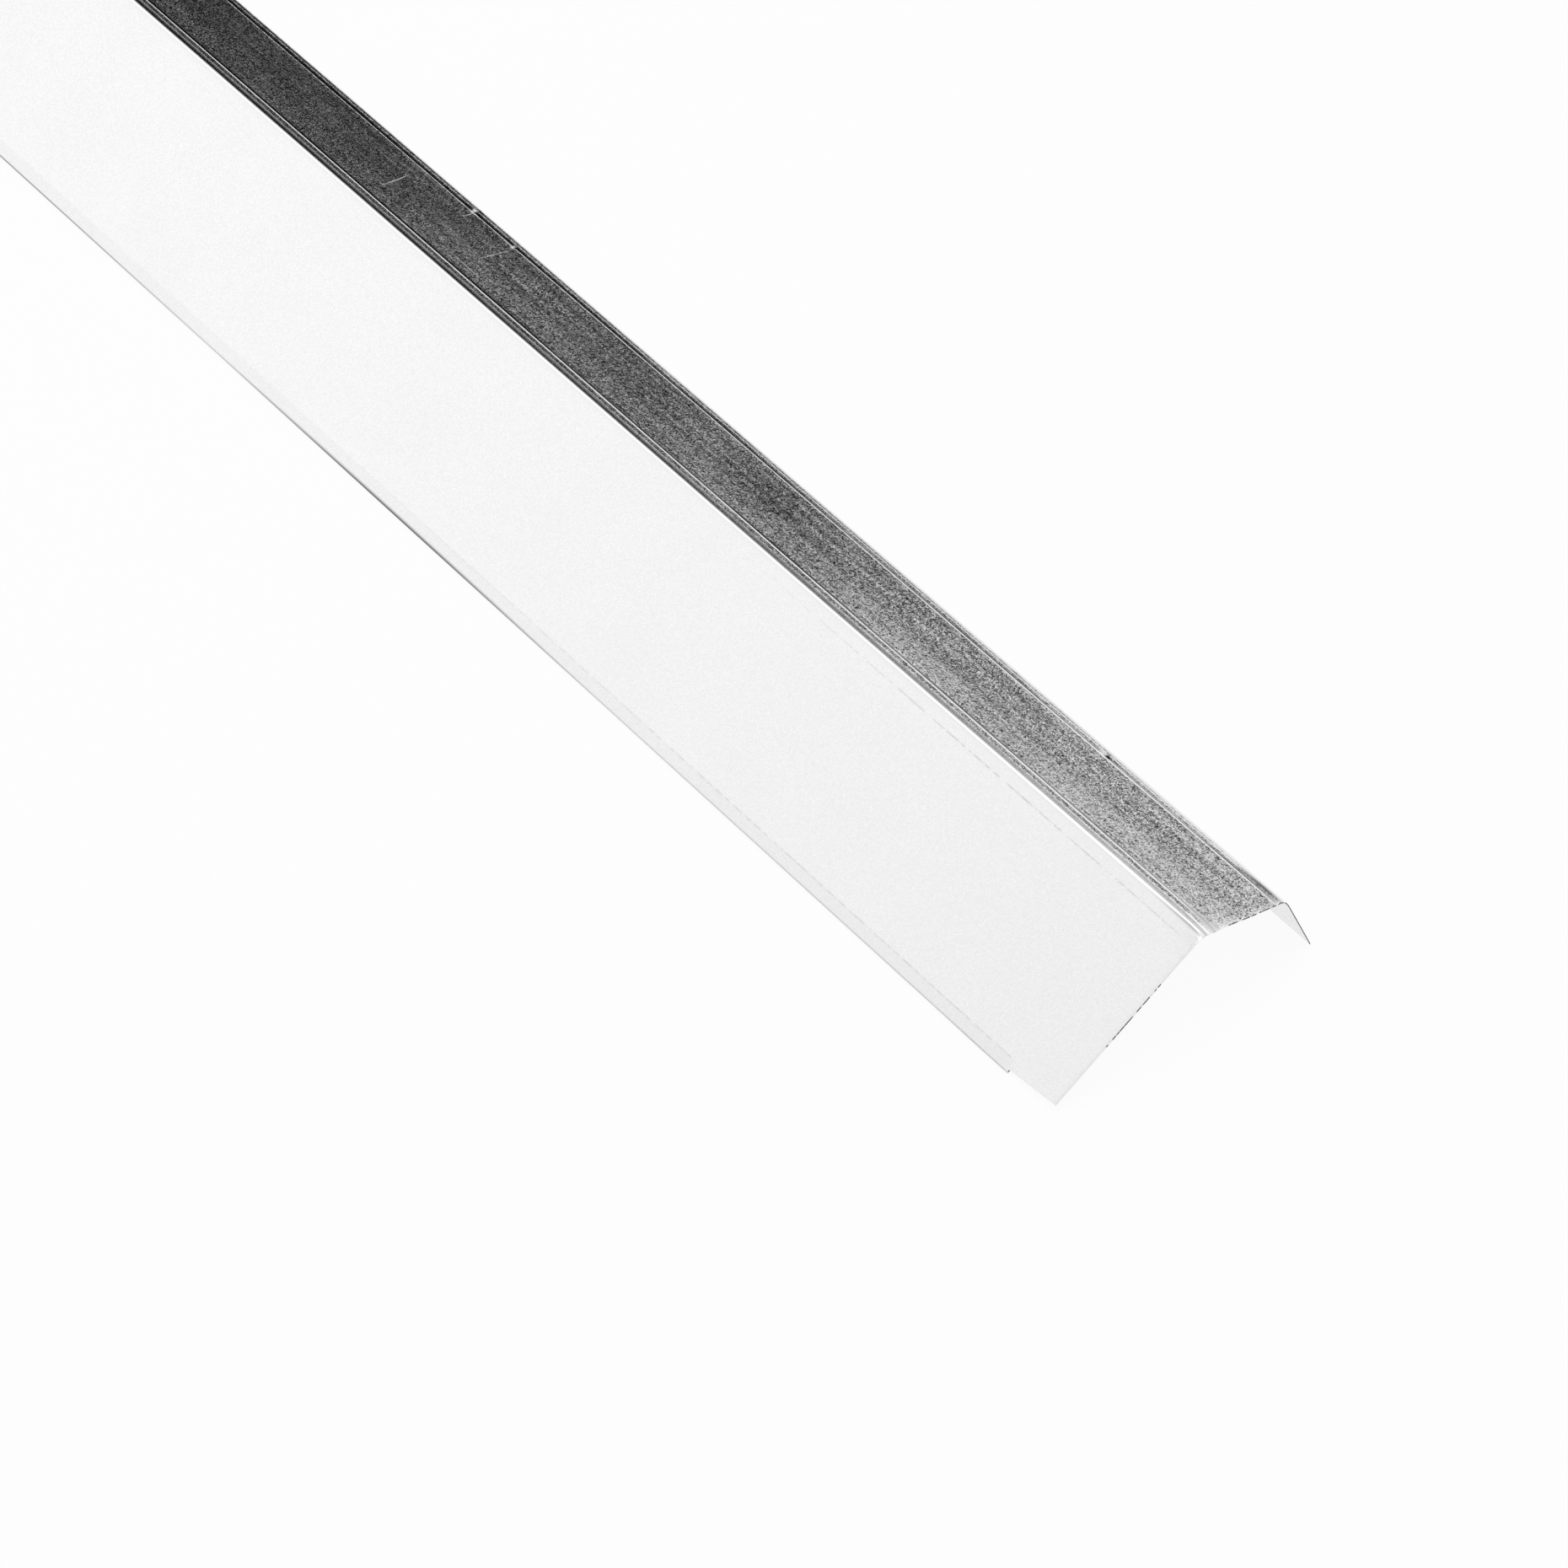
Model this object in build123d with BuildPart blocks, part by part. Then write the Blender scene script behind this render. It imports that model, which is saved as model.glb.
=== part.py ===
"""Fascia trim: one length of galvanized sheet steel folded into a hemmed face, a sloping strip and a nailing flange.

The length lies along X on its two long edges: the hem of the face in front and the free edge of the flange behind.
The origin is on the floor in the middle of the length and of the width.
"""

import os
from math import asin, atan2, cos, hypot, radians, sin, tan

from build123d import *

os.makedirs("parts", exist_ok=True)

INCH = 25.4

# Sizes of the folded length in millimetres, taken on the outside of the sheet
LENGTH = 120 * INCH
SHEET = 0.5
FACE = 4 * INCH
STRIP = 2 * INCH
FLANGE = 1.75 * INCH
HEM = 0.25 * INCH

# Bends: degrees turned and radius on the inside of the sheet
FOLD_TURN = 48
RIDGE_TURN = 51
BEND_RADIUS = 3.0
HEM_RADIUS = 0.4
HEM_TURN = 180

# Lap notch in the hem at the +X end: the fold and its return are gone and the face is trimmed on a taper
NOTCH_LENGTH = 1.125 * INCH
NOTCH_START_DEPTH = 1.8
NOTCH_END_DEPTH = 3.8

# Outside radii, and what is left straight between the bends
outer_bend = BEND_RADIUS + SHEET
outer_hem = HEM_RADIUS + SHEET
fold_setback = outer_bend * tan(radians(FOLD_TURN / 2))
ridge_setback = outer_bend * tan(radians(RIDGE_TURN / 2))
face_straight = FACE - outer_hem - fold_setback
strip_straight = STRIP - fold_setback - ridge_setback
flange_straight = FLANGE - ridge_setback

# How far the cuts of the notch run past the metal
overrun = 2 * SHEET


def draw_side(hem_back, hem_radius, bend_radius):
    """Draws one side of the sheet, from the free edge of the hem round to the free edge of the flange.

    Args:
        hem_back: distance of the hem's return from the front of the face.
        hem_radius: radius of this side in the hem.
        bend_radius: radius of this side in the two open bends.

    Returns:
        The first and the last point of the side.
    """
    hem = Line((hem_back, HEM), (hem_back, outer_hem))
    curl = JernArc(hem @ 1, hem % 1, hem_radius, -HEM_TURN)
    face = PolarLine(curl @ 1, face_straight, direction=curl % 1)
    fold = JernArc(face @ 1, face % 1, bend_radius, -FOLD_TURN)
    strip = PolarLine(fold @ 1, strip_straight, direction=fold % 1)
    ridge = JernArc(strip @ 1, strip % 1, bend_radius, -RIDGE_TURN)
    flange = PolarLine(ridge @ 1, flange_straight, direction=ridge % 1)
    return hem @ 0, flange @ 1


# The section, drawn with the face upright and its front on x = 0
with BuildSketch() as section:
    with BuildLine():
        outer_start, outer_tip = draw_side(2 * outer_hem, outer_hem, outer_bend)
        inner_start, inner_tip = draw_side(2 * outer_hem - SHEET, HEM_RADIUS, BEND_RADIUS)
        Line(outer_start, inner_start)
        Line(outer_tip, inner_tip)
    make_face()

# How far the section leans back when the round of the hem and the tip of the flange both touch the floor
tip_back = inner_tip.X - outer_hem
tip_up = inner_tip.Y - outer_hem
lean = atan2(tip_up, tip_back) + asin(outer_hem / hypot(tip_back, tip_up))
along_face = Vector(0, sin(lean), cos(lean))
behind_face = Vector(0, cos(lean), -sin(lean))

# Where the lower front corner of the face stands, so that the box around the trim is centred on the origin
hem_centre = behind_face * outer_hem + along_face * outer_hem
front = hem_centre.Y - outer_hem
rear = (behind_face * outer_tip.X + along_face * outer_tip.Y).Y
corner = Vector(0, -(front + rear) / 2, outer_hem - hem_centre.Z)

half_length = Vector(LENGTH / 2, 0, 0)
far_plane = Plane(origin=corner - half_length, x_dir=behind_face, z_dir=(1, 0, 0))
notch_plane = Plane(origin=corner + half_length, x_dir=(-1, 0, 0), z_dir=behind_face)

with BuildPart() as fascia_trim:
    # The folded sheet, as long as it is sold
    with BuildSketch(far_plane):
        add(section.sketch)
    extrude(amount=LENGTH)

    # The return of the hem is cut away over the length of the notch
    with BuildSketch(notch_plane.offset(SHEET + HEM_RADIUS)):
        with Locations((NOTCH_LENGTH / 2 - overrun / 2, HEM / 2)):
            Rectangle(NOTCH_LENGTH + overrun, HEM + 2 * overrun)
    extrude(amount=outer_hem + overrun, mode=Mode.SUBTRACT)

    # The lower edge of the face is trimmed there on a slight taper
    with BuildSketch(notch_plane.offset(-overrun)):
        with BuildLine():
            Polyline(
                (-overrun, -overrun),
                (NOTCH_LENGTH, -overrun),
                (NOTCH_LENGTH, NOTCH_START_DEPTH),
                (0, NOTCH_END_DEPTH),
                (-overrun, NOTCH_END_DEPTH),
                close=True,
            )
        make_face()
    extrude(amount=2 * outer_hem + 2 * overrun, mode=Mode.SUBTRACT)

fascia_trim.part.label = "fascia_trim"
export_step(fascia_trim.part, "parts/fascia_trim.step")
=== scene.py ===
"""Looks of a folded fascia trim of bare galvanized sheet steel, built around its solid.

The sheet is one surface of two parameters: the distance along its section and the distance along its length.
The section's arcs and straights carry it, and a shallow relief on top holds what folding and handling left:
soft bends, die marks, a dished strip, the hem's line, nicks and the drawn-down cut end.
"""

import logging
from dataclasses import dataclass, field
from enum import IntEnum
from math import pi, radians, tan

import bpy
import numpy as np
from mathutils import Color, Matrix, Vector


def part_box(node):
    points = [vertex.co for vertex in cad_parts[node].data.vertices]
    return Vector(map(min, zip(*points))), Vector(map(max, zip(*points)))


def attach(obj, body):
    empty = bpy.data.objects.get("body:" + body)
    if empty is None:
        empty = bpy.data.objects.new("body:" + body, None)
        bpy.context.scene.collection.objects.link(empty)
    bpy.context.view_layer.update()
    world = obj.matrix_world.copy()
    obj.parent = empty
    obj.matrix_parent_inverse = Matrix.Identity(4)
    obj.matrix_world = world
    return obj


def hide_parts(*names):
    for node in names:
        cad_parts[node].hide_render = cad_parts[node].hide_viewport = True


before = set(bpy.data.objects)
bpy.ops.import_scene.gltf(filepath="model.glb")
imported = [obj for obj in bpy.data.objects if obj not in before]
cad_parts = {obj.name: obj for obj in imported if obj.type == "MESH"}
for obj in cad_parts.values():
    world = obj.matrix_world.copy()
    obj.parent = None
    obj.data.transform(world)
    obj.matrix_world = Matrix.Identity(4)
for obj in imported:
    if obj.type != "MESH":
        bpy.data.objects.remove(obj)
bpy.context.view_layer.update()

INCH = 25.4
METRES_PER_MM = 0.001
NODE = "fascia_trim"
BODY = "root"
PHOTO_PIXELS = 1860
FULL_BYTE = 255
QUAD_CORNERS = 4

# Numbers of the Mix node's sockets for colours
MIX_UNDER = 6
MIX_OVER = 7
MIX_RESULT = 2

# Short names for types; a socket is linked from another socket, or from a node by its first output
Tree = bpy.types.NodeTree
Source = bpy.types.NodeSocket | bpy.types.Node

log = logging.getLogger("fascia_trim_scene")


def linear(colour: str) -> tuple[float, float, float, float]:
    """Turns an sRGB hex colour into linear red, green, blue and alpha.

    Args:
        colour: the colour as "#RRGGBB".

    Returns:
        The linear colour, with an alpha of 1.
    """
    red, green, blue = (byte / FULL_BYTE for byte in bytes.fromhex(colour.lstrip("#")))
    return (*Color((red, green, blue)).from_srgb_to_scene_linear(), 1.0)


def per_metre(size: float) -> float:
    """Gives how many times a size in millimetres goes into a metre, as the scale of a pattern."""
    return 1 / (size * METRES_PER_MM)


def add_node(tree: Tree, kind: str, inputs: dict | None = None, **settings) -> bpy.types.Node:
    """Adds a node, sets its properties, and fills or links its sockets.

    Args:
        tree: the node tree that gets the node.
        kind: Blender's name of the node's type.
        inputs: a value, or the socket or node to link from, for each named or numbered input.
        settings: the node's own properties.

    Returns:
        The new node.
    """
    node = tree.nodes.new(kind)
    for name, value in settings.items():
        setattr(node, name, value)
    for socket, value in (inputs or {}).items():
        source = value.outputs[0] if isinstance(value, bpy.types.Node) else value
        if isinstance(source, bpy.types.NodeSocket):
            tree.links.new(source, node.inputs[socket])
        else:
            node.inputs[socket].default_value = source
    return node


def hump(distance: np.ndarray, width: float) -> np.ndarray:
    """Gives a round bump, 1 in its middle and 0 from half its width on: the squared cosine of the distance.

    Args:
        distance: distances from the middle of the bump.
        width: full width of the bump.

    Returns:
        The height of the bump at each distance.
    """
    share = np.clip(np.abs(distance) / (width / 2), 0, 1)
    return np.cos(share * pi / 2) ** 2


def pressed(distance: np.ndarray, reach: float) -> np.ndarray:
    """Gives a dip with raised lips, 1 deep: a bell curve times 1 less twice the squared distance.

    Args:
        distance: distances from the middle of the dip.
        reach: distance at which the bell curve has sunk to 1/e.

    Returns:
        The depth of the dip at each distance, negative on the lips.
    """
    share = (distance / reach) ** 2
    return (1 - 2 * share) * np.exp(-share)


class SheetSide(IntEnum):
    """Which skin of the sheet a mesh face belongs to."""

    OUTER = 0
    INNER = 1
    CUT = 2


class Run(IntEnum):
    """The runs of the section in order; the number of each is also that of the knot at which it begins."""

    RETURN = 0
    CURL = 1
    FACE = 2
    FOLD = 3
    STRIP = 4
    RIDGE = 5
    FLANGE = 6


@dataclass(frozen=True)
class FoldedSection:
    """The section of the sheet, followed along its outer side from the hem's free edge to the flange's.

    Sizes are in millimetres and turns in degrees, as on the solid.
    """

    sheet: float = 0.5
    face: float = 4 * INCH
    strip: float = 2 * INCH
    flange: float = 1.75 * INCH
    hem: float = 0.25 * INCH
    fold_turn: float = 48.0
    ridge_turn: float = 51.0
    bend_radius: float = 3.0
    hem_radius: float = 0.4
    step: float = 0.02

    @property
    def outer_bend(self) -> float:
        """Radius of the two open bends on the outer side."""
        return self.bend_radius + self.sheet

    @property
    def outer_hem(self) -> float:
        """Radius of the hem on the outer side."""
        return self.hem_radius + self.sheet

    def runs(self) -> tuple[np.ndarray, np.ndarray]:
        """Gives the length and the turn of each run: return, curl, face, fold, strip, ridge and flange.

        Returns:
            The lengths in millimetres and the turns in radians.
        """
        fold, ridge = np.radians([self.fold_turn, self.ridge_turn])
        fold_setback = self.outer_bend * np.tan(fold / 2)
        ridge_setback = self.outer_bend * np.tan(ridge / 2)
        lengths = np.array([
            self.hem - self.outer_hem,
            self.outer_hem * pi,
            self.face - self.outer_hem - fold_setback,
            self.outer_bend * fold,
            self.strip - fold_setback - ridge_setback,
            self.outer_bend * ridge,
            self.flange - ridge_setback,
        ])
        return lengths, np.array([0, pi, 0, fold, 0, ridge, 0])

    def knots(self) -> np.ndarray:
        """Distances along the section at which its runs begin and end."""
        return np.concatenate([[0], np.cumsum(self.runs()[0])])

    @property
    def fold(self) -> float:
        """Distance along the section of the middle of the fold."""
        return float(self.knots()[[Run.FOLD, Run.STRIP]].mean())

    @property
    def ridge(self) -> float:
        """Distance along the section of the middle of the ridge."""
        return float(self.knots()[[Run.RIDGE, Run.FLANGE]].mean())

    @property
    def face_foot(self) -> float:
        """Distance along the section at which the face, drawn on straight, would reach the hem's bottom."""
        return float(self.knots()[Run.FACE]) - self.outer_hem

    def trace(self, low_corner: Vector) -> tuple[np.ndarray, np.ndarray, np.ndarray]:
        """Follows the outer side in small steps and lays it down on the hem's round and the flange's tip.

        The heading is the sum of the turns so far, and the position the sum of the steps at each heading.
        The whole is then turned until the lowest point of the hem's circle and the inner corner of the tip
        are level: the line from the circle's centre to that corner slopes down by the circle's radius.

        Args:
            low_corner: lowest corner of the solid's box, in metres.

        Returns:
            The distances along the section and the points, in millimetres, and the headings in radians.
        """
        lengths, turns = self.runs()
        knots = self.knots()
        turned = np.concatenate([[0], np.cumsum(turns)])
        along = np.linspace(0, knots[-1], round(knots[-1] / self.step) + 1)
        heading = pi - np.interp(along, knots, turned)

        between = (heading[1:] + heading[:-1]) / 2
        steps = np.stack([np.cos(between), np.sin(between)], axis=-1) * np.diff(along)[:, None]
        points = np.concatenate([np.zeros((1, 2)), np.cumsum(steps, axis=0)])

        hem_centre = np.array([-lengths[Run.RETURN], self.outer_hem])
        inward = np.array([np.sin(heading[-1]), -np.cos(heading[-1])])
        reach = points[-1] + self.sheet * inward - hem_centre
        lift = -np.arctan2(reach[1], reach[0]) - np.arcsin(self.outer_hem / np.hypot(*reach))

        turn = np.array([[np.cos(lift), -np.sin(lift)], [np.sin(lift), np.cos(lift)]])
        stand = np.array(low_corner[1:]) / METRES_PER_MM + self.outer_hem
        return along, (points - hem_centre) @ turn.T + stand, heading + lift


@dataclass(frozen=True)
class Groove:
    """A shallow furrow with raised lips all along the length, such as the shoulder of a folding die leaves.

    Places and sizes are in millimetres, and the place is measured along the section from the fold.
    """

    across: float
    reach: float
    depth: float


@dataclass(frozen=True)
class Dent:
    """A small dent, placed from the near end and from the fold, in millimetres; a negative depth lifts."""

    along: float
    across: float
    reach_along: float
    reach_across: float
    depth: float


@dataclass(frozen=True)
class Wave:
    """A slow wave of the thin sheet along its length: its length, height and shift in millimetres."""

    length: float
    height: float
    shift: float


@dataclass(frozen=True)
class SurfaceMark:
    """A scratch, a dark patch or a patch of painted shade, placed from the near end and from the fold, in
    millimetres and degrees.
    """

    along: float
    across: float
    length: float
    width: float
    slant: float
    strength: float


Marks = tuple[SurfaceMark, ...]


@dataclass(frozen=True)
class GalvanizedSteel:
    """Bare hot-dip galvanized sheet steel, as it comes off the coil and the folding brake.

    It gives the eye a pale, neutral metal that mirrors broad lights softly. Its zinc froze in fine crystals
    that tilt a little each way, so a darker reflection breaks up into grain, while an even bright one shows
    none. The strip and the flange were drawn over the brake, which roughened and streaked them; the face lay
    still. Where the die pressed it is burnished smooth, and where it was cut the dull steel inside shows.
    """

    zinc: str = "#EBEBEB"
    dull_zinc: str = "#E9E9E9"
    scuffed_zinc: str = "#C9CACA"
    # The dark steel colour is that of the bare cut edges, and is also laid on as painted shade and painted
    # dark reflections
    bare_steel_and_shade: str = "#5C5E60"

    # Sizes of the patterns; the zinc's crystals are finer and are drawn as coarse as they need to be to show
    crystal_mm: float = 0.62
    cloud_mm: float = 45.0
    streak_mm: tuple[float, float] = (90.0, 2.6)
    dash_mm: float = 4.5
    tear_mm: float = 4.0
    drawn_from_mm: float = 6.0

    # How fine the noise of each pattern is broken up, and between which values of it a dash or a tear begins
    cloud_detail: float = 3.0
    streak_detail: float = 2.0
    dash_detail: float = 4.0
    dash_breaking: float = 0.7
    dash_edge: tuple[float, float] = (0.4, 0.56)
    tear_detail: float = 2.0
    tear_edge: tuple[float, float] = (0.42, 0.5)

    # How far the surface leans, as a share of its normal
    crystal_tilt: float = 0.07
    crystal_tilt_of_face: float = 0.025
    streak_tilt: float = 0.05

    roughness: float = 0.22
    roughness_of_crystals: float = 0.07
    roughness_of_clouds: float = 0.04
    roughness_burnished: float = 0.11
    roughness_scratched: float = 0.60

    def material(self, scratches: Marks, shade_and_dark_patches: Marks) -> bpy.types.Material:
        """Makes the zinc: crystals with a tilt and a dullness of their own, die marks, scuffs, cuts, and
        painted shade and painted dark reflections.

        Args:
            scratches: the dull scratches to draw, on the flat blank.
            shade_and_dark_patches: the painted shade and the dark patches to draw, on the flat blank.

        Returns:
            The finished material.
        """
        steel = bpy.data.materials.new("galvanized_sheet_steel")
        steel.use_nodes = True
        tree = steel.node_tree
        tree.nodes.clear()
        place = add_node(tree, "ShaderNodeTexCoord").outputs["Object"]
        flat = add_node(tree, "ShaderNodeUVMap", uv_map="flat_blank").outputs["UV"]
        burnish = add_node(tree, "ShaderNodeAttribute", attribute_name="burnish").outputs["Fac"]
        grains = {"Vector": place, "Scale": per_metre(self.crystal_mm)}
        crystals = add_node(tree, "ShaderNodeTexVoronoi", grains).outputs["Color"]
        dashes = {
            "Vector": flat,
            "Scale": per_metre(self.dash_mm),
            "Detail": self.dash_detail,
            "Roughness": self.dash_breaking,
        }
        scuff = self.broken_line(tree, "scuff", dashes, "2D", self.dash_edge)
        scratch = self.ellipses(tree, flat, scratches)
        worn = add_node(tree, "ShaderNodeMath", {0: scuff, 1: scratch}, operation="MAXIMUM", use_clamp=True)
        surface = add_node(
            tree,
            "ShaderNodeBsdfPrincipled",
            {
                "Base Color": self.colour(tree, flat, crystals, scuff, shade_and_dark_patches),
                "Metallic": 1.0,
                "Roughness": self.dullness(tree, place, crystals, burnish, worn),
                "Normal": self.normal(tree, flat, crystals, burnish),
            },
        )
        add_node(tree, "ShaderNodeOutputMaterial", {"Surface": surface})
        return steel

    def normal(self, tree: Tree, flat: Source, crystals: Source, burnish: Source) -> Source:
        """Tips the surface by the streaks and by a chance vector of each crystal.

        Drawing the sheet over the brake roughens the crystals, and burnishing flattens them. Their chance
        values run half a unit either way from the middle, so they are scaled by twice the tilt.

        Args:
            tree: the material's nodes.
            flat: coordinates on the flat blank.
            crystals: the three chance values of each crystal.
            burnish: how burnished a place is.

        Returns:
            The tipped normal.
        """
        drawn = self.drawn_share(tree, flat)
        tilts = {"Value": drawn, "To Min": 2 * self.crystal_tilt_of_face, "To Max": 2 * self.crystal_tilt}
        roughened = add_node(tree, "ShaderNodeMapRange", tilts)
        flattened = {"Value": burnish, "To Min": roughened, "To Max": 0.0}
        steepness = add_node(tree, "ShaderNodeMapRange", flattened)
        middle = (0.5, 0.5, 0.5)
        centred = add_node(tree, "ShaderNodeVectorMath", {0: crystals, 1: middle}, operation="SUBTRACT")
        tilt = add_node(tree, "ShaderNodeVectorMath", {0: centred, "Scale": steepness}, operation="SCALE")
        upright = add_node(tree, "ShaderNodeNewGeometry").outputs["Normal"]
        streaks = self.streaks(tree, flat, drawn)
        streaked = add_node(tree, "ShaderNodeVectorMath", {0: upright, 1: streaks}, operation="ADD")
        leaning = add_node(tree, "ShaderNodeVectorMath", {0: streaked, 1: tilt}, operation="ADD")
        return add_node(tree, "ShaderNodeVectorMath", {0: leaning}, operation="NORMALIZE")

    def dullness(self, tree: Tree, place: Source, crystals: Source, burnish: Source, worn: Source) -> Source:
        """Varies the dullness by crystals and in slow clouds; burnishing lowers it and wear raises it.

        Args:
            tree: the material's nodes.
            place: coordinates on the object.
            crystals: the three chance values of each crystal.
            burnish: how burnished a place is.
            worn: how scuffed or scratched a place is.

        Returns:
            The roughness.
        """
        chance = add_node(tree, "ShaderNodeSeparateColor", {"Color": crystals}).outputs["Green"]
        least = self.roughness - self.roughness_of_crystals
        most = self.roughness + self.roughness_of_crystals
        of_crystals = add_node(tree, "ShaderNodeMapRange", {"Value": chance, "To Min": least, "To Max": most})
        cloudy = {"Vector": place, "Scale": per_metre(self.cloud_mm), "Detail": self.cloud_detail}
        clouds = add_node(tree, "ShaderNodeTexNoise", cloudy).outputs["Fac"]
        swing = self.roughness_of_clouds
        of_clouds = add_node(tree, "ShaderNodeMapRange", {"Value": clouds, "To Min": -swing, "To Max": swing})
        grown = add_node(tree, "ShaderNodeMath", {0: of_crystals, 1: of_clouds}, operation="ADD")
        burnished = {"Factor": burnish, "A": grown, "B": self.roughness_burnished}
        smoothed = add_node(tree, "ShaderNodeMix", burnished)
        return add_node(tree, "ShaderNodeMix", {"Factor": worn, "A": smoothed, "B": self.roughness_scratched})

    def colour(self, tree: Tree, flat: Source, crystals: Source, scuff: Source, shade_and_dark_patches: Marks) -> Source:
        """Keeps close to one grey, but for scuffs, the bare steel of the cut edges, and painted shade,
        painted dark reflections and dark patches laid on in the bare steel's colour.

        Args:
            tree: the material's nodes.
            flat: coordinates on the flat blank.
            crystals: the three chance values of each crystal.
            scuff: how scuffed a place is.
            shade_and_dark_patches: the painted shade and the dark patches to draw.

        Returns:
            The colour.
        """
        # Painted shade: a dark reflection painted into the die mark beside the ridge, and faint shade painted
        # over the hem
        painted_shade = add_node(tree, "ShaderNodeAttribute", attribute_name="painted_shade").outputs["Fac"]
        # Painted shade over the fold near the cut end and along the hem's lower edge, and two dark patches
        shade_and_patch = self.ellipses(tree, flat, shade_and_dark_patches)
        painted_shade_and_patches = add_node(tree, "ShaderNodeMath", {0: painted_shade, 1: shade_and_patch}, operation="MAXIMUM")
        # The cut end's dark rim: bare steel on the cut's walls, painted shade of the drawn-down burr on the
        # outer skin
        whole = add_node(tree, "ShaderNodeAttribute", attribute_name="bare_and_shaded_cut").outputs["Fac"]
        across = add_node(tree, "ShaderNodeSeparateXYZ", {0: flat}).outputs["Y"]
        tears = {"W": across, "Scale": per_metre(self.tear_mm), "Detail": self.tear_detail}
        torn = self.broken_line(tree, "dashed_bare_and_shaded_cut", tears, "1D", self.tear_edge)
        bare = add_node(tree, "ShaderNodeMath", {0: whole, 1: torn}, operation="MAXIMUM")
        # The bare steel of the cuts and the painted shade and dark reflections share one dark colour
        dark = add_node(tree, "ShaderNodeMath", {0: bare, 1: painted_shade_and_patches}, operation="MAXIMUM", use_clamp=True)

        # Each colour is laid over those before it
        chance = add_node(tree, "ShaderNodeSeparateColor", {"Color": crystals}).outputs["Blue"]
        shown = linear(self.zinc)
        for share, over in ((chance, self.dull_zinc), (scuff, self.scuffed_zinc), (dark, self.bare_steel_and_shade)):
            laid = {"Factor": share, MIX_UNDER: shown, MIX_OVER: linear(over)}
            shown = add_node(tree, "ShaderNodeMix", laid, data_type="RGBA").outputs[MIX_RESULT]
        return shown

    def streaks(self, tree: Tree, flat: Source, drawn: Source) -> Source:
        """Makes the faint streaks of the brake, a noise drawn out along the length that tips the surface.

        Args:
            tree: the material's nodes.
            flat: coordinates on the flat blank.
            drawn: how much of the streaks a place has.

        Returns:
            The vector to add to the normal, along the length.
        """
        long, narrow = self.streak_mm
        stretch = {"Vector": flat, "Scale": (per_metre(long), per_metre(narrow), 1.0)}
        drawn_out = add_node(tree, "ShaderNodeMapping", stretch)
        fine = {"Vector": drawn_out, "Scale": 1.0, "Detail": self.streak_detail}
        noise = add_node(tree, "ShaderNodeTexNoise", fine, noise_dimensions="2D").outputs["Fac"]
        leans = {"Value": noise, "To Min": -self.streak_tilt, "To Max": self.streak_tilt}
        lean = add_node(tree, "ShaderNodeMapRange", leans)
        kept = add_node(tree, "ShaderNodeMath", {0: lean, 1: drawn}, operation="MULTIPLY")
        return add_node(tree, "ShaderNodeCombineXYZ", {"X": kept})

    def drawn_share(self, tree: Tree, flat: Source) -> Source:
        """Tells the strip and the flange, drawn over the brake's edge, from the face, which lay still.

        Args:
            tree: the material's nodes.
            flat: coordinates on the flat blank.

        Returns:
            A share that is 0 on the face and rises to 1 a little above the fold.
        """
        across = add_node(tree, "ShaderNodeSeparateXYZ", {0: flat}).outputs["Y"]
        full = self.drawn_from_mm * METRES_PER_MM
        return add_node(tree, "ShaderNodeMapRange", {"Value": across, "From Max": full})

    def broken_line(
        self, tree: Tree, line: str, pattern: dict, dimensions: str, edge: tuple[float, float]
    ) -> Source:
        """Breaks up a line that the mesh carries, so that it is left only where a noise rises past its edge.

        Args:
            tree: the material's nodes.
            line: the mesh attribute that holds the line.
            pattern: the inputs of the noise.
            dimensions: Blender's name of the noise's dimensions.
            edge: the values of the noise at which a dash begins and is full.

        Returns:
            What is left of the line.
        """
        noise = add_node(tree, "ShaderNodeTexNoise", pattern, noise_dimensions=dimensions).outputs["Fac"]
        low, high = edge
        dashes = add_node(tree, "ShaderNodeMapRange", {"Value": noise, "From Min": low, "From Max": high})
        whole = add_node(tree, "ShaderNodeAttribute", attribute_name=line).outputs["Fac"]
        return add_node(tree, "ShaderNodeMath", {0: whole, 1: dashes}, operation="MULTIPLY")

    def ellipses(self, tree: Tree, flat: Source, marks: Marks) -> Source:
        """Draws each scratch, dark patch or patch of painted shade as an ellipse that fades out from its
        middle.

        Args:
            tree: the material's nodes.
            flat: coordinates on the flat blank.
            marks: the scratches, or the painted shade and dark patches.

        Returns:
            How marked the zinc is.
        """
        deepest = 0.0
        for mark in marks:
            own = {
                "Vector": flat,
                "Location": (mark.along * METRES_PER_MM, mark.across * METRES_PER_MM, 0.0),
                "Rotation": (0.0, 0.0, radians(mark.slant)),
                "Scale": (mark.length / 2 * METRES_PER_MM, mark.width / 2 * METRES_PER_MM, 1.0),
            }
            placed = add_node(tree, "ShaderNodeMapping", own, vector_type="TEXTURE")
            away = add_node(tree, "ShaderNodeVectorMath", {0: placed}, operation="LENGTH").outputs["Value"]
            fade = {"Value": away, "To Min": mark.strength, "To Max": 0.0}
            fading = add_node(tree, "ShaderNodeMapRange", fade, interpolation_type="SMOOTHSTEP")
            deepest = add_node(tree, "ShaderNodeMath", {0: fading, 1: deepest}, operation="MAXIMUM")
        return deepest


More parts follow.
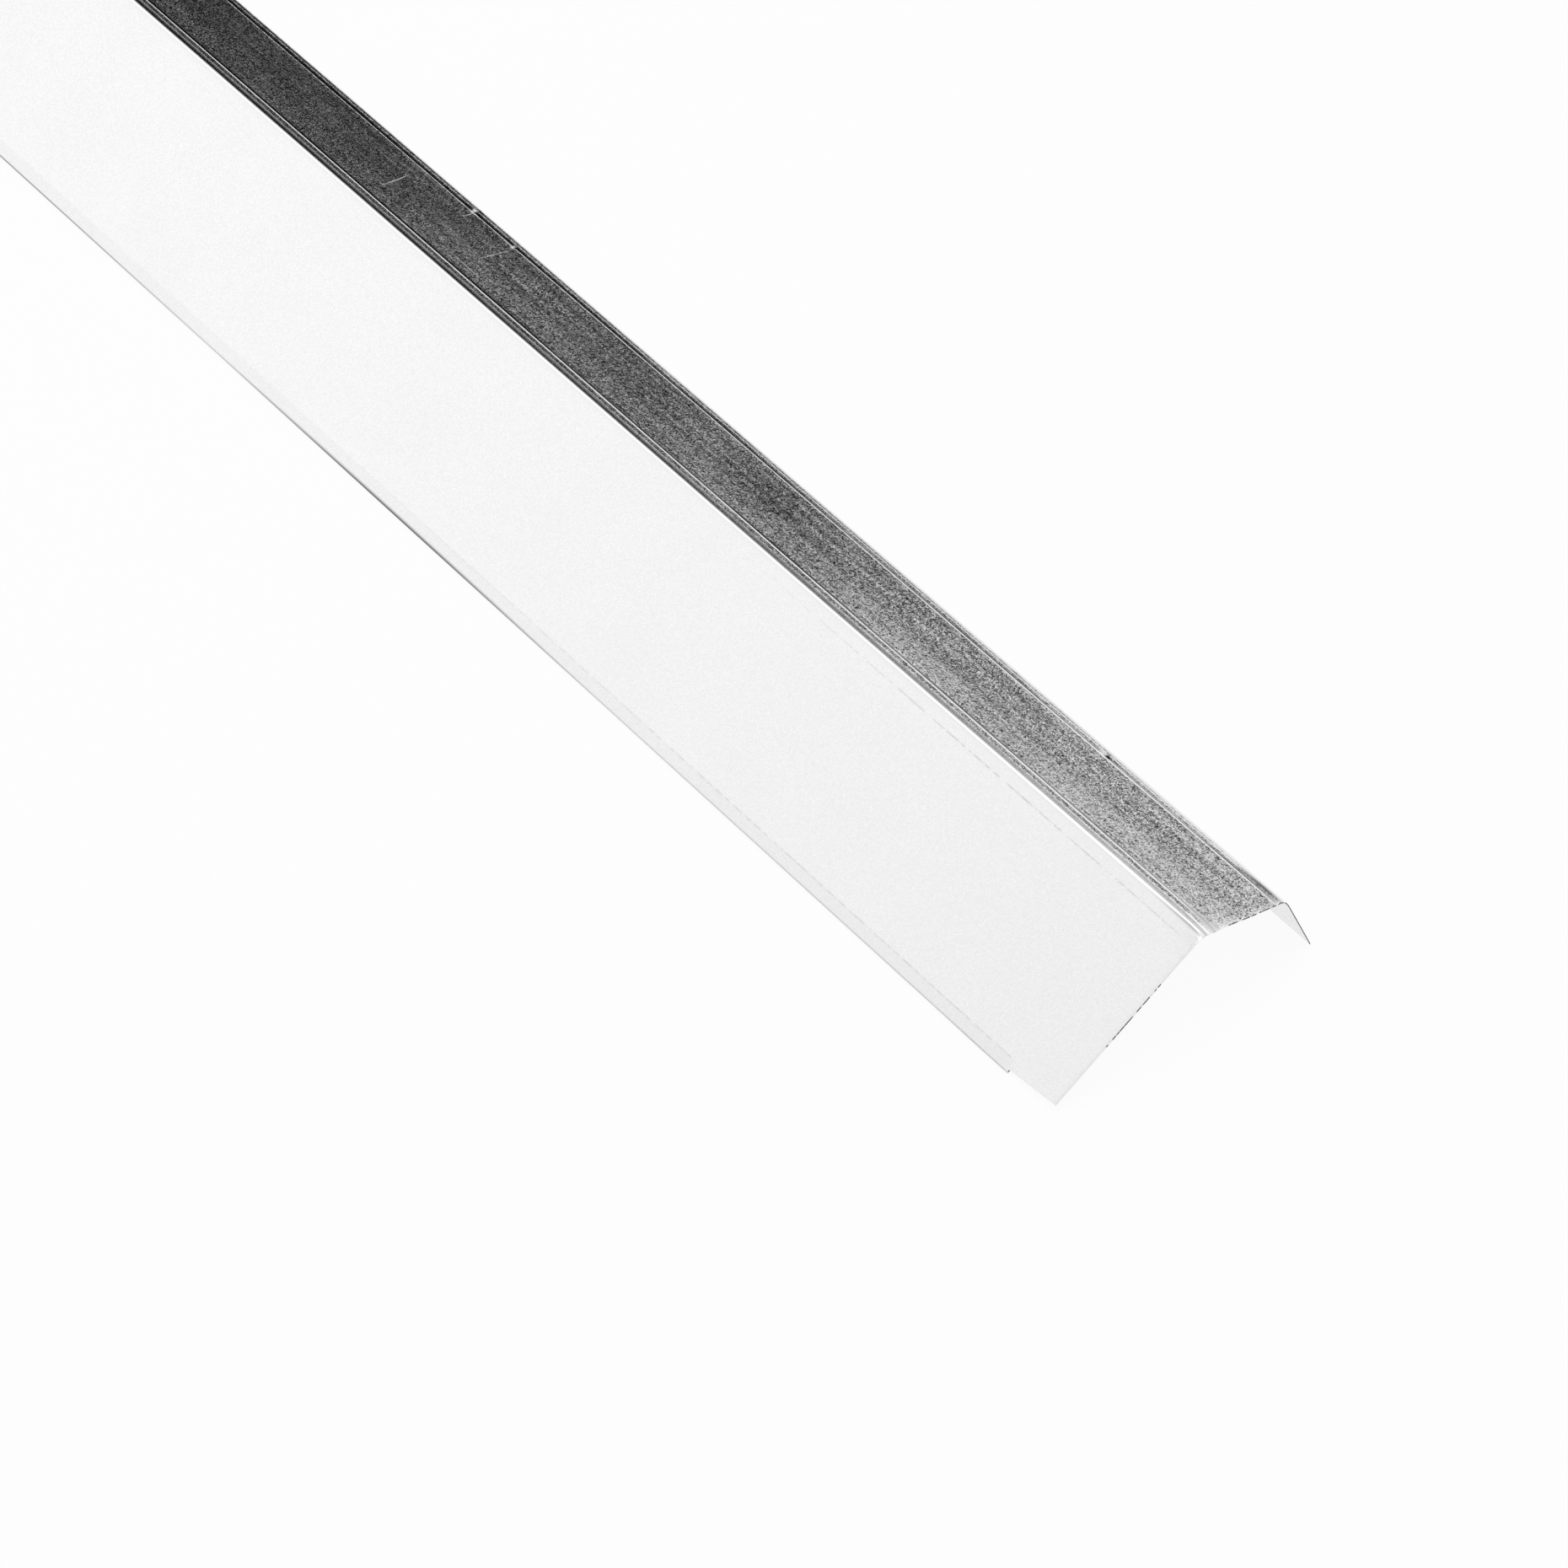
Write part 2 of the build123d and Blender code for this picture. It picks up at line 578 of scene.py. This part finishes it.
@dataclass
class TrimSheet:
    """The folded sheet itself: a section carried along the length, with its relief, notch and cut edges.

    Places along are millimetres from the near end, and places across are millimetres from the fold along the
    section, positive up the strip and negative down the face.
    """

    section: FoldedSection = field(default_factory=FoldedSection)
    finish: GalvanizedSteel = field(default_factory=GalvanizedSteel)

    # The lap notch at the near end: the hem is gone and the face is trimmed on a taper
    notch_length: float = 1.125 * INCH
    notch_start: float = 1.8
    notch_end: float = 3.8

    # Reach and depth of the bends' softness: pressed in an open die, they reach out on both sides
    fold_softness: tuple[float, float] = (2.4, 0.26)
    ridge_softness: tuple[float, float] = (2.9, 0.40)

    # The strip between its die marks is slightly hollow
    dish_start: float = 8.0
    dish_end: float = 43.0
    dish_depth: float = 0.75

    # The marks of the die's shoulders beside the two bends
    die_marks: tuple[Groove, ...] = (
        Groove(across=6.8, reach=1.7, depth=0.28),
        Groove(across=2.55, reach=0.65, depth=0.17),
        Groove(across=45.2, reach=1.3, depth=0.165),
        Groove(across=47.6, reach=0.7, depth=0.04),
    )

    # The burnished width of a die mark in reaches, the depth that burnishes fully, and the width on a bend
    burnish_share: float = 2.4
    deep_press: float = 0.1
    bend_shine: float = 7.5

    # The line that the die scuffed on the face without pressing it in, how scuffed it and the hem's line are,
    # the middle and the length of the worn stretch of each, and their width
    face_scuff: float = -7.2
    face_wear: float = 0.7
    face_worn: tuple[float, float] = (110.0, 460.0)
    hem_wear: float = 0.5
    hem_worn: tuple[float, float] = (100.0, 1100.0)
    scuff_width: float = 1.2

    # The painted dark reflection in the die mark beside the ridge, and the faint painted shade over the hem
    painted_reflection_line: float = 45.9
    painted_reflection_width: float = 1.4
    painted_reflection_share: float = 0.4
    hem_painted_shade: float = 0.05

    # The line that the hem's free edge presses through the face
    hem_line_width: float = 1.6
    hem_line_depth: float = 0.03

    # Nicks in the strip beside the ridge, and the ridge's corner at the cut end, which is lifted
    nicks: tuple[Dent, ...] = (
        Dent(along=571.0, across=46.5, reach_along=1.6, reach_across=2.4, depth=0.35),
        Dent(along=539.0, across=44.5, reach_along=1.4, reach_across=1.6, depth=0.30),
        Dent(along=114.0, across=46.0, reach_along=2.0, reach_across=1.6, depth=0.25),
        Dent(along=3.0, across=47.3, reach_along=13.0, reach_across=1.8, depth=-0.45),
    )

    scratches: Marks = (
        SurfaceMark(along=609.0, across=26.0, length=34.0, width=1.0, slant=84.0, strength=1.0),
        SurfaceMark(along=570.6, across=42.0, length=9.0, width=1.1, slant=86.0, strength=1.0),
        SurfaceMark(along=539.0, across=32.0, length=32.0, width=0.9, slant=95.0, strength=0.8),
        SurfaceMark(along=536.0, across=12.6, length=50.0, width=1.4, slant=0.0, strength=0.5),
        SurfaceMark(along=560.0, across=25.0, length=110.0, width=10.0, slant=8.5, strength=0.12),
        SurfaceMark(along=596.6, across=47.0, length=3.0, width=1.0, slant=80.0, strength=1.0),
        SurfaceMark(along=557.0, across=47.4, length=3.6, width=1.0, slant=60.0, strength=0.9),
        SurfaceMark(along=452.0, across=40.5, length=8.0, width=0.9, slant=80.0, strength=0.7),
        SurfaceMark(along=443.0, across=26.5, length=7.0, width=0.9, slant=92.0, strength=0.7),
        SurfaceMark(along=314.0, across=43.0, length=7.0, width=0.8, slant=88.0, strength=0.6),
        SurfaceMark(along=303.0, across=33.7, length=7.0, width=0.8, slant=90.0, strength=0.5),
        SurfaceMark(along=265.0, across=42.5, length=3.5, width=0.8, slant=85.0, strength=0.5),
        SurfaceMark(along=243.0, across=19.0, length=22.0, width=0.7, slant=0.0, strength=0.3),
        SurfaceMark(along=180.0, across=24.2, length=2.4, width=0.9, slant=100.0, strength=0.8),
        SurfaceMark(along=142.5, across=29.0, length=2.4, width=0.7, slant=100.0, strength=0.8),
        SurfaceMark(along=107.0, across=30.0, length=3.0, width=0.8, slant=60.0, strength=0.7),
        SurfaceMark(along=81.0, across=34.0, length=2.6, width=0.8, slant=110.0, strength=0.7),
        SurfaceMark(along=50.6, across=39.7, length=3.0, width=0.8, slant=70.0, strength=0.7),
    )

    # Painted shade and dark patches: a dark patch on the ridge beside the cut end and a faint one across the
    # strip, painted shade over the fold's reflection near the cut end, three at the fold, and painted shade
    # along the hem's lower edge, three on the hem
    shade_and_dark_patches: Marks = (
        SurfaceMark(along=13.0, across=47.4, length=44.0, width=4.6, slant=0.0, strength=1.0),
        SurfaceMark(along=282.0, across=27.5, length=80.0, width=9.0, slant=-6.0, strength=0.16),
        # Painted shade over the fold's reflection near the cut end
        SurfaceMark(along=4.0, across=-1.0, length=76.0, width=2.8, slant=0.0, strength=0.55),
        SurfaceMark(along=0.0, across=1.0, length=90.0, width=5.5, slant=0.0, strength=0.36),
        SurfaceMark(along=6.0, across=7.2, length=50.0, width=8.0, slant=0.0, strength=0.42),
        # Painted shade along the hem's lower edge
        SurfaceMark(along=52.0, across=-101.8, length=60.0, width=2.0, slant=0.0, strength=0.4),
        SurfaceMark(along=465.0, across=-101.3, length=370.0, width=4.0, slant=0.0, strength=0.9),
        SurfaceMark(along=780.0, across=-101.9, length=500.0, width=3.2, slant=0.0, strength=0.9),
    )

    waves: tuple[Wave, ...] = (
        Wave(length=310.0, height=0.22, shift=40.0),
        Wave(length=137.0, height=0.10, shift=15.0),
    )

    # The cut near end: the stretch that broke off bare, those that did so in dashes, and the width of the
    # dark rim, which is bare steel on the cut's wall and painted shade of the drawn-down burr on the outer
    # skin
    bare_and_shaded_cut: tuple[float, float] = (50.0, 96.0)
    dashed_bare_and_shaded_cuts: tuple[tuple[float, float], ...] = ((-66.0, -30.0), (14.0, 50.0))
    bare_and_shaded_rim: float = 0.35

    # The cut end is drawn down by the shear, and most of all at the corner of the fold
    shear_reach: float = 0.8
    shear_drop: float = 0.08
    corner_reach: float = 6.5
    corner_width: float = 10.0
    corner_drop: float = 1.0
    corner_across: float = 4.0

    # Rows of the mesh along the section: parts of a run or spacing in millimetres, and how far the close rows
    # reach, in widths of the hem or in millimetres from a bend
    return_parts: int = 4
    bend_parts: int = 10
    curl_parts: int = 12
    mark_row: float = 0.34
    soft_row: float = 0.7
    strip_row: float = 2.2
    broad_row: float = 6.0
    hem_widths: float = 2.0
    marked_width: float = 10.4

    # Stations of the mesh along the length, in millimetres: at the cut, where it is seen, beyond and at nicks
    cut_first: float = 0.2
    cut_last: float = 5.2
    cut_stations: int = 9
    seen_length: float = 860.0
    seen_station: float = 8.0
    far_station: float = 60.0
    nick_station: float = 0.6
    nick_stations: int = 8
    decimals: int = 6

    # The angle in degrees between two faces from which on their edge is shown sharp
    sharp_edge: float = 40.0

    @property
    def ridge(self) -> float:
        """Place across of the middle of the ridge."""
        return self.section.ridge - self.section.fold

    @property
    def hem_line(self) -> float:
        """Place across of the hem's free edge, which presses a line through the face."""
        return self.section.face_foot + self.section.hem - self.section.fold

    def rows(self) -> np.ndarray:
        """Spaces the rows of the mesh along the section, closely where it bends or carries a mark.

        Returns:
            Distances along the section in millimetres, rising.
        """
        part = self.section
        start, curl, face, fold, strip, ridge, flange, end = part.knots()
        notch_foot = part.face_foot + self.notch_start
        notch_top = part.face_foot + self.notch_end + self.soft_row
        hem_top = part.face_foot + self.hem_widths * part.hem
        below_fold = part.fold - self.marked_width
        above_fold = part.fold + self.marked_width
        below_ridge = part.ridge - self.marked_width
        behind_ridge = part.ridge + self.marked_width
        spans = [
            (start, curl, part.hem / self.return_parts),
            (curl, face, (face - curl) / self.curl_parts),
            (notch_foot, notch_foot, self.soft_row),
            (notch_top, hem_top, self.mark_row),
            (hem_top, below_fold, self.broad_row),
            (below_fold, fold, self.mark_row),
            (fold, strip, (strip - fold) / self.bend_parts),
            (strip, above_fold, self.mark_row),
            (above_fold, below_ridge, self.strip_row),
            (below_ridge, ridge, self.mark_row),
            (ridge, flange, (flange - ridge) / self.bend_parts),
            (flange, behind_ridge, self.soft_row),
            (behind_ridge, end, self.broad_row),
        ]
        steps = [
            np.linspace(low, high, max(1, round((high - low) / space)) + 1) for low, high, space in spans
        ]
        return np.unique(np.round(np.concatenate(steps), self.decimals))

    def stations(self, length: float) -> np.ndarray:
        """Spaces the stations of the mesh along the length, closely at the near end and around the nicks.

        Args:
            length: length of the trim in millimetres.

        Returns:
            Distances from the near end in millimetres, rising.
        """
        at_cut = np.geomspace(self.cut_first, self.cut_last, self.cut_stations)
        seen = np.arange(self.seen_station, self.seen_length, self.seen_station)
        far = np.linspace(self.seen_length, length, round((length - self.seen_length) / self.far_station) + 1)
        around = np.arange(-self.nick_stations, self.nick_stations + 1) * self.nick_station
        nicks = np.concatenate([nick.along + around for nick in self.nicks])
        spaced = np.concatenate([[0], at_cut, seen, [self.notch_length], nicks[nicks > 0], far])
        return np.unique(np.round(spaced, self.decimals))

    def relief(self, across: np.ndarray, along: np.ndarray) -> np.ndarray:
        """Gives how far the sheet stands proud of its plain section, as a sum of shallow forms.

        A soft bend sinks by a bell curve, and a die mark by a dip with lips. The dished strip and the hem's
        line sink by a squared cosine across, and slow sine waves run along the dish. A nick sinks by a bell
        curve both ways, and the cut end by a falling exponential.

        Args:
            across: distances from the fold along the section, in millimetres.
            along: distances from the near end, in millimetres.

        Returns:
            The height along the outward normal, in millimetres.
        """
        height = np.zeros(np.broadcast(across, along).shape)
        for bend, (reach, depth) in ((0.0, self.fold_softness), (self.ridge, self.ridge_softness)):
            height -= depth * np.exp(-(((across - bend) / reach) ** 2))

        dish_middle = (self.dish_start + self.dish_end) / 2
        dish = hump(across - dish_middle, self.dish_end - self.dish_start)
        height -= self.dish_depth * dish
        for wave in self.waves:
            height += wave.height * dish * np.sin(2 * pi * (along + wave.shift) / wave.length)

        for groove in self.die_marks:
            height -= groove.depth * pressed(across - groove.across, groove.reach)
        over_hem = hump(across - self.hem_line, self.hem_line_width) * (along > self.notch_length)
        height -= self.hem_line_depth * over_hem

        for nick in self.nicks:
            before = (along - nick.along) / nick.reach_along
            aside = (across - nick.across) / nick.reach_across
            height -= nick.depth * np.exp(-(before**2 + aside**2))

        height -= self.shear_drop * np.exp(-along / self.shear_reach)
        beside = (across - self.corner_across) / self.corner_width
        height -= self.corner_drop * np.exp(-along / self.corner_reach - beside**2)
        return height

    def build(self) -> bpy.types.Object:
        """Builds the sheet as two skins a sheet's thickness apart, with walls along every cut edge.

        The section is carried along the length, and the relief moves it along its outward normal. The taper
        of the notch moves one row of the face up.

        Returns:
            The sheet's object, at the origin.
        """
        low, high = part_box(NODE)
        length = (high.x - low.x) / METRES_PER_MM
        section = self.section
        distance, points, headings = section.trace(low)
        rows = self.rows()
        stations = self.stations(length)[::-1]

        # The taper of the notch, on the one row that bounds it
        place = np.repeat(rows[:, None], len(stations), axis=1)
        notch_row = int(np.argmin(np.abs(rows - section.face_foot - self.notch_start)))
        in_notch = np.clip(1 - stations / self.notch_length, 0, 1)
        place[notch_row] += (self.notch_end - self.notch_start) * in_notch

        across = place - section.fold
        along = np.broadcast_to(stations, place.shape)
        heading = np.interp(place, distance, headings)
        outward = np.stack([-np.sin(heading), np.cos(heading)], axis=-1)
        plain = np.stack([np.interp(place, distance, points[:, axis]) for axis in (0, 1)], axis=-1)
        outer = plain + self.relief(across, along)[..., None] * outward
        inner = outer - section.sheet * outward
        lengthwise = high.x / METRES_PER_MM - along
        skins = [np.concatenate([lengthwise[..., None], skin], axis=-1) for skin in (outer, inner)]

        numbers, sides = self.shell(stations, len(rows), notch_row)
        used, faces = np.unique(numbers, return_inverse=True)
        spots = np.concatenate(skins).reshape(-1, 3)[used] * METRES_PER_MM
        flat = np.tile(np.stack([along, across], axis=-1).reshape(-1, 2), (2, 1))[used]
        return self.make_object(spots, faces.reshape(-1, QUAD_CORNERS), flat, sides)

    def shell(self, stations: np.ndarray, row_count: int, notch_row: int) -> tuple[np.ndarray, np.ndarray]:
        """Joins the points of the two skins into faces, with walls along every cut edge.

        Each skin is a grid of rows along the section and stations along the length, and the inner one's
        numbers follow on the outer one's. The notch leaves out the cells of the hem at the near end, and a
        wall stands where a cell is present and its neighbour isn't.

        Args:
            stations: distances of the stations from the near end, falling.
            row_count: how many rows there are.
            notch_row: number of the row that bounds the notch.

        Returns:
            Four point numbers for each face, and the skin that each face belongs to.
        """
        # Cells that are there, with an empty border around them
        cells = np.zeros((row_count + 1, len(stations) + 1), dtype=bool)
        cells[1:-1, 1:-1] = True
        first_cut = int(np.argmin(np.abs(stations - self.notch_length)))
        cells[: notch_row + 1, first_cut + 1 :] = False
        row, station = np.nonzero(cells[1:-1, 1:-1])

        count = row_count * len(stations)
        number = np.arange(count).reshape(row_count, len(stations))
        corners = np.stack([
            number[row, station],
            number[row, station + 1],
            number[row + 1, station + 1],
            number[row + 1, station],
        ], axis=-1)

        walls = []
        for side, (row_step, station_step) in enumerate([(-1, 0), (0, 1), (1, 0), (0, -1)]):
            bare = ~cells[row + 1 + row_step, station + 1 + station_step]
            start = corners[bare, side]
            end = corners[bare, (side + 1) % QUAD_CORNERS]
            walls.append(np.stack([end, start, start + count, end + count], axis=-1))
        cut = np.concatenate(walls)
        faces = np.concatenate([corners, corners[:, ::-1] + count, cut])
        return faces, np.repeat(list(SheetSide), [len(corners), len(corners), len(cut)])

    def wear(
        self, flat: np.ndarray, faces: np.ndarray, sides: np.ndarray
    ) -> dict[str, tuple[str, np.ndarray]]:
        """Works out where the sheet is burnished, scuffed, bare, or painted darker as shade.

        The bends and the die marks are burnished, two lines are scuffed and one holds a painted dark
        reflection, each by a squared cosine across it. The hem has faint painted shade, and the cut end is
        bare over given stretches, with painted shade of the drawn-down burr on the outer skin's rim.

        Args:
            flat: distance from the near end and from the fold at each vertex, in millimetres.
            faces: four vertex numbers for each face.
            sides: the skin that each face belongs to.

        Returns:
            For each kind of wear or painted shade, the mesh domain that it lies on and its values.
        """
        along, across = flat.T
        burnish = np.zeros(len(flat))
        for bend in (0.0, self.ridge):
            burnish = np.maximum(burnish, hump(across - bend, self.bend_shine))
        for groove in self.die_marks:
            shine = hump(across - groove.across, self.burnish_share * groove.reach)
            burnish = np.maximum(burnish, shine * min(groove.depth / self.deep_press, 1))
        scuff = np.zeros(len(flat))
        lines = (
            (self.face_scuff, self.face_wear, self.face_worn, 0.0),
            (self.hem_line, self.hem_wear, self.hem_worn, self.notch_length),
        )
        for line, wear, (worn_middle, worn_length), start in lines:
            worn = wear * hump(along - worn_middle, worn_length) * (along > start)
            scuff = np.maximum(scuff, worn * hump(across - line, self.scuff_width))
        # The cut end's dark rim: bare steel on the cut's walls, painted shade of the drawn-down burr on the
        # outer skin
        middle = flat[faces].mean(axis=1)
        rim = (sides != SheetSide.INNER) & (middle[:, 0] < self.bare_and_shaded_rim)
        bare, dashed = (
            rim & np.any([(middle[:, 1] > low) & (middle[:, 1] < high) for low, high in stretches], axis=0)
            for stretches in ((self.bare_and_shaded_cut,), self.dashed_bare_and_shaded_cuts)
        )
        # A painted dark reflection in the die mark beside the ridge, and faint painted shade over the hem
        painted_shade = self.painted_reflection_share * hump(across - self.painted_reflection_line, self.painted_reflection_width)
        on_hem = (across < self.hem_line) & (along > self.notch_length)
        painted_shade = np.maximum(painted_shade, self.hem_painted_shade * on_hem)
        return {
            "burnish": ("POINT", burnish),
            "scuff": ("POINT", scuff),
            "painted_shade": ("POINT", painted_shade),
            "bare_and_shaded_cut": ("FACE", bare),
            "dashed_bare_and_shaded_cut": ("FACE", dashed),
        }

    def make_object(
        self, spots: np.ndarray, faces: np.ndarray, flat: np.ndarray, sides: np.ndarray
    ) -> bpy.types.Object:
        """Puts the arrays into a mesh, with the flat blank's own coordinates and the skin of every face.

        Args:
            spots: the vertices, in metres.
            faces: four vertex numbers for each face.
            flat: distance from the near end and from the fold at each vertex, in millimetres.
            sides: the skin that each face belongs to.

        Returns:
            The new object, linked to the scene.
        """
        mesh = bpy.data.meshes.new("fascia_sheet")
        mesh.from_pydata(spots.tolist(), [], faces.tolist())
        blank = mesh.uv_layers.new(name="flat_blank")
        blank.uv.foreach_set("vector", (flat[faces] * METRES_PER_MM).astype(np.float32).ravel())
        for name, (domain, values) in self.wear(flat, faces, sides).items():
            worn = mesh.attributes.new(name, "FLOAT", domain)
            worn.data.foreach_set("value", values.astype(np.float32))
        mesh.shade_smooth()
        mesh.set_sharp_from_angle(angle=radians(self.sharp_edge))
        mesh.validate()
        piece = bpy.data.objects.new("fascia_sheet", mesh)
        bpy.context.scene.collection.objects.link(piece)
        return piece

    def dress(self, piece: bpy.types.Object) -> None:
        """Gives the sheet its zinc and ties it to the solid that it stands for.

        Args:
            piece: the sheet's object.
        """
        piece.data.materials.append(self.finish.material(self.scratches, self.shade_and_dark_patches))
        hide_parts(NODE)
        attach(piece, BODY)


@dataclass(frozen=True)
class WhiteFloor:
    """Matt white studio floor: white to the eye and in the metal, with the object's faint shadow left."""

    paint: str = "#F4F4F4"
    evenness: float = 0.92

    def material(self) -> bpy.types.Material:
        """Makes the floor: matt paint, evened out to white wherever it is seen directly or mirrored.

        Returns:
            The finished material.
        """
        floor = bpy.data.materials.new("matt_white_floor")
        floor.use_nodes = True
        tree = floor.node_tree
        tree.nodes.clear()
        rays = add_node(tree, "ShaderNodeLightPath").outputs
        bounced = {0: rays["Is Glossy Ray"], 1: rays["Is Transmission Ray"]}
        mirrored = add_node(tree, "ShaderNodeMath", bounced, operation="MAXIMUM")
        shown = add_node(tree, "ShaderNodeMath", {0: rays["Is Camera Ray"], 1: mirrored}, operation="MAXIMUM")
        share = add_node(tree, "ShaderNodeMath", {0: shown, 1: self.evenness}, operation="MULTIPLY")
        paint = add_node(tree, "ShaderNodeBsdfDiffuse", {"Color": linear(self.paint)})
        white = add_node(tree, "ShaderNodeEmission", {"Strength": 1.0})
        mixed = add_node(tree, "ShaderNodeMixShader", {0: share, 1: paint, 2: white})
        add_node(tree, "ShaderNodeOutputMaterial", {"Surface": mixed})
        return floor


@dataclass(frozen=True)
class SoftBox:
    """A large soft lamp: its middle, its target and its sides in metres, its fan in degrees, its radiance."""

    name: str
    middle: tuple[float, float, float]
    towards: tuple[float, float, float]
    width: float
    height: float
    fan: float
    radiance: float

    def build(self) -> bpy.types.Object:
        """Hangs the lamp and turns it to what it faces.

        Its power is radiance times pi times its area, less what a narrower fan gathers on its axis: the
        tangent of half the fan over that tangent less half the fan.

        Returns:
            The lamp's object.
        """
        lamp = bpy.data.lights.new(self.name, "AREA")
        lamp.shape = "RECTANGLE"
        lamp.size = self.width
        lamp.size_y = self.height
        lamp.spread = radians(self.fan)
        gathered = tan(lamp.spread / 2) / (tan(lamp.spread / 2) - lamp.spread / 2)
        lamp.energy = self.radiance * pi * self.width * self.height / gathered
        placed = bpy.data.objects.new(self.name, lamp)
        placed.location = self.middle
        aim = Vector(self.towards) - Vector(self.middle)
        placed.rotation_euler = aim.to_track_quat("-Z", "Y").to_euler()
        placed.visible_camera = False
        bpy.context.scene.collection.objects.link(placed)
        return placed


@dataclass
class Studio:
    """The white floor, the soft lamps, the dim room around them and the camera."""

    floor: WhiteFloor = field(default_factory=WhiteFloor)
    floor_half: float = 40.0
    floor_drop: float = 0.0005

    lamps: tuple[SoftBox, ...] = (
        SoftBox(
            name="key_softbox",
            middle=(-0.602, -1.506, 2.269),
            towards=(1.340, -0.243, 0.358),
            width=4.7,
            height=5.5,
            fan=115.0,
            radiance=1.24,
        ),
        SoftBox(
            name="top_softbox",
            middle=(-1.0, 0.40, 2.5),
            towards=(-1.0, 0.40, 0.0),
            width=6.0,
            height=1.5,
            fan=180.0,
            radiance=0.5,
        ),
    )

    # The room is dark to the left and pale to the right, the pale side widens overhead and to the horizon,
    # and it is dim again at its far end, so that the back of the trim has a tone of its own
    bright_side: tuple[float, float, float] = (0.934, 0.55, 0.0)
    side_start: float = -0.075
    side_end: float = 0.189
    overhead_start: float = 0.42
    overhead_reach: float = 0.48
    horizon_start: float = 0.40
    horizon_reach: float = 0.16
    fade_start: float = 0.45
    fade_end: float = 0.95
    fade_share: float = 0.3
    room_white: str = "#FFFFFF"
    room_pale: float = 1.05

    # The camera, as found from the photograph's vanishing lines and corners
    eye: tuple[float, float, float] = (2.82903324, -1.29787861, 2.17547829)
    elevation: float = 47.75515477
    azimuth: float = 50.55693841
    focal_pixels: float = 7744.5946
    sensor_mm: float = 36.0
    far_clip: float = 200.0

    def build_floor(self) -> bpy.types.Object:
        """Lays one large flat floor just under the object.

        Returns:
            The floor's object.
        """
        half, level = self.floor_half, -self.floor_drop
        mesh = bpy.data.meshes.new("studio_floor")
        corners = [(-half, -half, level), (half, -half, level), (half, half, level), (-half, half, level)]
        mesh.from_pydata(corners, [], [(0, 1, 2, 3)])
        mesh.materials.append(self.floor.material())
        laid = bpy.data.objects.new("studio_floor", mesh)
        bpy.context.scene.collection.objects.link(laid)
        return laid

    def build_room(self) -> bpy.types.World:
        """Makes the room's glow: it rises smoothly to the pale side, and overhead and to the horizon sooner.

        Returns:
            The scene's world.
        """
        room = bpy.data.worlds.new("studio_room")
        room.use_nodes = True
        tree = room.node_tree
        tree.nodes.clear()
        direction = add_node(tree, "ShaderNodeTexCoord").outputs["Generated"]
        up = add_node(tree, "ShaderNodeSeparateXYZ", {0: direction}).outputs["Z"]
        facing = {0: direction, 1: self.bright_side}
        side = add_node(tree, "ShaderNodeVectorMath", facing, operation="DOT_PRODUCT").outputs["Value"]
        above = {"Value": up, "From Min": self.overhead_start, "To Max": self.overhead_reach}
        overhead = add_node(tree, "ShaderNodeMapRange", above)
        level = {"Value": up, "From Max": self.horizon_start, "To Min": self.horizon_reach, "To Max": 0.0}
        horizon = add_node(tree, "ShaderNodeMapRange", level)
        wider = add_node(tree, "ShaderNodeMath", {0: overhead, 1: horizon}, operation="ADD")
        reach = add_node(tree, "ShaderNodeMath", {0: side, 1: wider}, operation="ADD")
        rise = {
            "Value": reach,
            "From Min": self.side_start,
            "From Max": self.side_end,
            "To Max": self.room_pale,
        }
        pale = add_node(tree, "ShaderNodeMapRange", rise, interpolation_type="SMOOTHSTEP")
        fade = {
            "Value": side,
            "From Min": self.fade_start,
            "From Max": self.fade_end,
            "To Min": 1.0,
            "To Max": self.fade_share,
        }
        faded = add_node(tree, "ShaderNodeMapRange", fade, interpolation_type="SMOOTHSTEP")
        glow = add_node(tree, "ShaderNodeMath", {0: pale, 1: faded}, operation="MULTIPLY")
        lit = add_node(tree, "ShaderNodeBackground", {"Color": linear(self.room_white), "Strength": glow})
        add_node(tree, "ShaderNodeOutputWorld", {"Surface": lit})
        bpy.context.scene.world = room
        return room

    def build_camera(self) -> bpy.types.Object:
        """Sets up the camera from its elevation and azimuth; the lens is the focal length in millimetres.

        Returns:
            The camera's object.
        """
        rise, turn = radians(self.elevation), radians(self.azimuth)
        back = Vector((np.sin(turn) * np.cos(rise), -np.cos(turn) * np.cos(rise), np.sin(rise)))
        right = Vector((np.cos(turn), np.sin(turn), 0.0))
        up = back.cross(right)
        view = bpy.data.cameras.new("photo_camera")
        view.sensor_width = self.sensor_mm
        view.lens = self.focal_pixels / PHOTO_PIXELS * self.sensor_mm
        view.clip_end = self.far_clip
        camera = bpy.data.objects.new("photo_camera", view)
        camera.matrix_world = Matrix.Translation(self.eye) @ Matrix((right, up, back)).transposed().to_4x4()
        bpy.context.scene.collection.objects.link(camera)
        bpy.context.scene.camera = camera
        return camera

    def build(self) -> None:
        """Builds the floor, the lamps, the room and the camera, and sets the plain view transform."""
        self.build_floor()
        for lamp in self.lamps:
            lamp.build()
        self.build_room()
        self.build_camera()
        bpy.context.scene.view_settings.view_transform = "Standard"


def main() -> None:
    logging.basicConfig(level=logging.INFO)
    trim = TrimSheet()
    sheet = trim.build()
    trim.dress(sheet)
    log.info("%s: %d faces", sheet.name, len(sheet.data.polygons))

    studio = Studio()
    studio.build()
    log.info("studio: %d lamps", len(studio.lamps))


if __name__ == "__main__":
    main()
